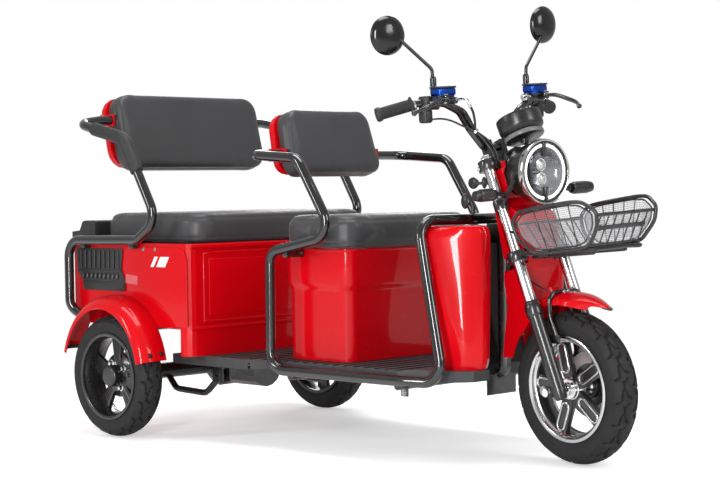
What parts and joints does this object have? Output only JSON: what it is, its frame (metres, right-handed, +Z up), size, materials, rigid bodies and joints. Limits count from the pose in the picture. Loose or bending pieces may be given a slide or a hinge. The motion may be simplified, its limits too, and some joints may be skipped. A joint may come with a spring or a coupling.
{
  "type": "electric passenger tricycle",
  "caption": "Electric passenger tricycle with a sprung fork and rear axle, step-through floor, driver and bench seats with armrests, and a front basket.",
  "frame": {"origin": "middle of the bounding box on the floor the wheels stand on", "axes": "+X forward, +Y to the rider's left, +Z up; the steering rests turned 7.5 degrees to the right"},
  "size_m": [1.928, 0.984, 1.2538],
  "materials": {
    "red_plastic": "gloss",
    "black_tube": "gloss",
    "black_plastic": "satin",
    "black_leather": "satin",
    "tyre_rubber": "matte",
    "chrome": "polished",
    "alloy": "satin",
    "black_metal": "satin",
    "red_lamp": "gloss",
    "clear_lamp": "clear"
  },
  "bodies": {
    "frame": {"armrest_pad_left": "black_plastic", "armrest_pad_right": "black_plastic", "battery_pack": "black_plastic", "chassis_frame": "black_metal", "driver_backrest_cushion": "black_leather", "driver_backrest_shell": "red_plastic", "driver_guard_left": "black_tube", "driver_guard_right": "black_tube", "driver_seat_box": "red_plastic", "floor_board": "black_plastic", "knee_panel": "black_plastic", "leg_shield_left": "red_plastic", "leg_shield_right": "red_plastic", "passenger_backrest_cushion": "black_leather", "passenger_backrest_shell": "red_plastic", "rear_body": "red_plastic", "rear_deck": "black_plastic", "rear_fender_left": "red_plastic", "rear_fender_right": "red_plastic", "rear_guard_left": "black_tube", "rear_guard_right": "black_tube", "rear_shock_left": "black_metal", "rear_shock_right": "black_metal", "side_vent_left": "black_plastic", "side_vent_right": "black_plastic", "tail_lamp": "red_lamp"},
    "steering": {"fork_yokes": "black_metal", "stanchion_right": "chrome", "stanchion_left": "chrome", "handlebar": "black_tube", "left_grip": "black_plastic", "bar_control_right": "black_plastic", "bar_control_left": "black_plastic", "instrument_cup": "black_plastic", "headlight_shell": "black_plastic", "headlight_lens": "clear_lamp", "front_cowl": "red_plastic", "basket": "black_tube", "indicator_right": "black_plastic", "indicator_left": "black_plastic", "steering_loom": "black_plastic"},
    "fork_legs": {"fork_slider_right": "black_metal", "fork_slider_left": "black_metal", "front_axle": "chrome", "front_fender": "red_plastic", "brake_caliper": "alloy"},
    "front_wheel": {"front_tyre": "tyre_rubber", "front_rim": "black_metal"},
    "rear_suspension": {"rear_axle": "black_metal"},
    "driver_seat": {"driver_seat_cushion": "black_leather"},
    "passenger_seat": {"passenger_seat_cushion": "black_leather"},
    "throttle": {"throttle_grip": "black_plastic"},
    "rear_wheel_right": {"rear_tyre_right": "tyre_rubber", "rear_rim_right": "black_metal"},
    "brake_lever_right": {"brake_lever_right": "black_metal"},
    "mirror_right": {"mirror_right": "black_plastic"},
    "rear_wheel_left": {"rear_tyre_left": "tyre_rubber", "rear_rim_left": "black_metal"},
    "brake_lever_left": {"brake_lever_left": "black_metal"},
    "mirror_left": {"mirror_left": "black_plastic"}
  },
  "joints": [
    {"name": "steering", "type": "hinge", "parent": "frame", "child": "steering", "pos_m": [0.72063, 0, 0.19679], "axis": [-0.3665, 0, 0.9304], "range_deg": [-17.5, 32.5]},
    {"name": "fork_slide", "type": "slide", "parent": "steering", "child": "fork_legs", "axis": [-0.3665, 0, 0.9304], "range_m": [-0.01, 0.03], "stiffness_N_per_m": 12000, "springref_m": -0.0251},
    {"name": "front_wheel_spin", "type": "hinge", "parent": "fork_legs", "child": "front_wheel", "pos_m": [0.74185, -0.003, 0.20515], "axis": [0.1214, 0.9914, 0.0478], "continuous": true},
    {"name": "rear_suspension", "type": "hinge", "parent": "frame", "child": "rear_suspension", "pos_m": [-0.42197, 0, 0.18022], "axis": [0, 1, 0], "range_deg": [-3, 6], "stiffness_Nm_per_rad": 3000, "springref_deg": -3.05, "deforming": ["rear_shock_right", "rear_shock_left"]},
    {"name": "rear_wheel_spin_right", "type": "hinge", "parent": "rear_suspension", "child": "rear_wheel_right", "pos_m": [-0.67197, -0.435, 0.18522], "axis": [0, 1, 0], "continuous": true},
    {"name": "rear_wheel_spin_left", "type": "hinge", "parent": "rear_suspension", "child": "rear_wheel_left", "pos_m": [-0.67197, 0.435, 0.18522], "axis": [0, 1, 0], "continuous": true},
    {"name": "driver_seat_lid", "type": "hinge", "parent": "frame", "child": "driver_seat", "pos_m": [0.13303, 0, 0.57222], "axis": [0, 1, 0], "range_deg": [0, 60]},
    {"name": "passenger_seat_lid", "type": "hinge", "parent": "frame", "child": "passenger_seat", "pos_m": [-0.83997, 0, 0.65522], "axis": [0, -1, 0], "range_deg": [0, 35]},
    {"name": "throttle_twist", "type": "hinge", "parent": "steering", "child": "throttle", "pos_m": [0.38706, -0.2202, 0.9666], "axis": [-0.5696, -0.7764, -0.2698], "range_deg": [0, 65], "stiffness_Nm_per_rad": 0.2, "springref_deg": -28.65},
    {"name": "brake_lever_right", "type": "hinge", "parent": "steering", "child": "brake_lever_right", "pos_m": [0.46114, -0.19136, 0.9752], "axis": [-0.0029, -0.0478, 0.9989], "range_deg": [-14, 0], "stiffness_Nm_per_rad": 2, "springref_deg": 5.73},
    {"name": "brake_lever_left", "type": "hinge", "parent": "steering", "child": "brake_lever_left", "pos_m": [0.50583, 0.17349, 0.99281], "axis": [-0.0029, -0.0478, 0.9989], "range_deg": [0, 14], "stiffness_Nm_per_rad": 2, "springref_deg": -5.73},
    {"name": "mirror_turn_right", "type": "hinge", "parent": "steering", "child": "mirror_right", "pos_m": [0.40099, -0.17299, 0.99793], "axis": [-0.0029, -0.0478, 0.9989], "range_deg": [-25, 25]},
    {"name": "mirror_turn_left", "type": "hinge", "parent": "steering", "child": "mirror_left", "pos_m": [0.44277, 0.16807, 1.01439], "axis": [-0.0029, -0.0478, 0.9989], "range_deg": [-25, 25]}
  ]
}
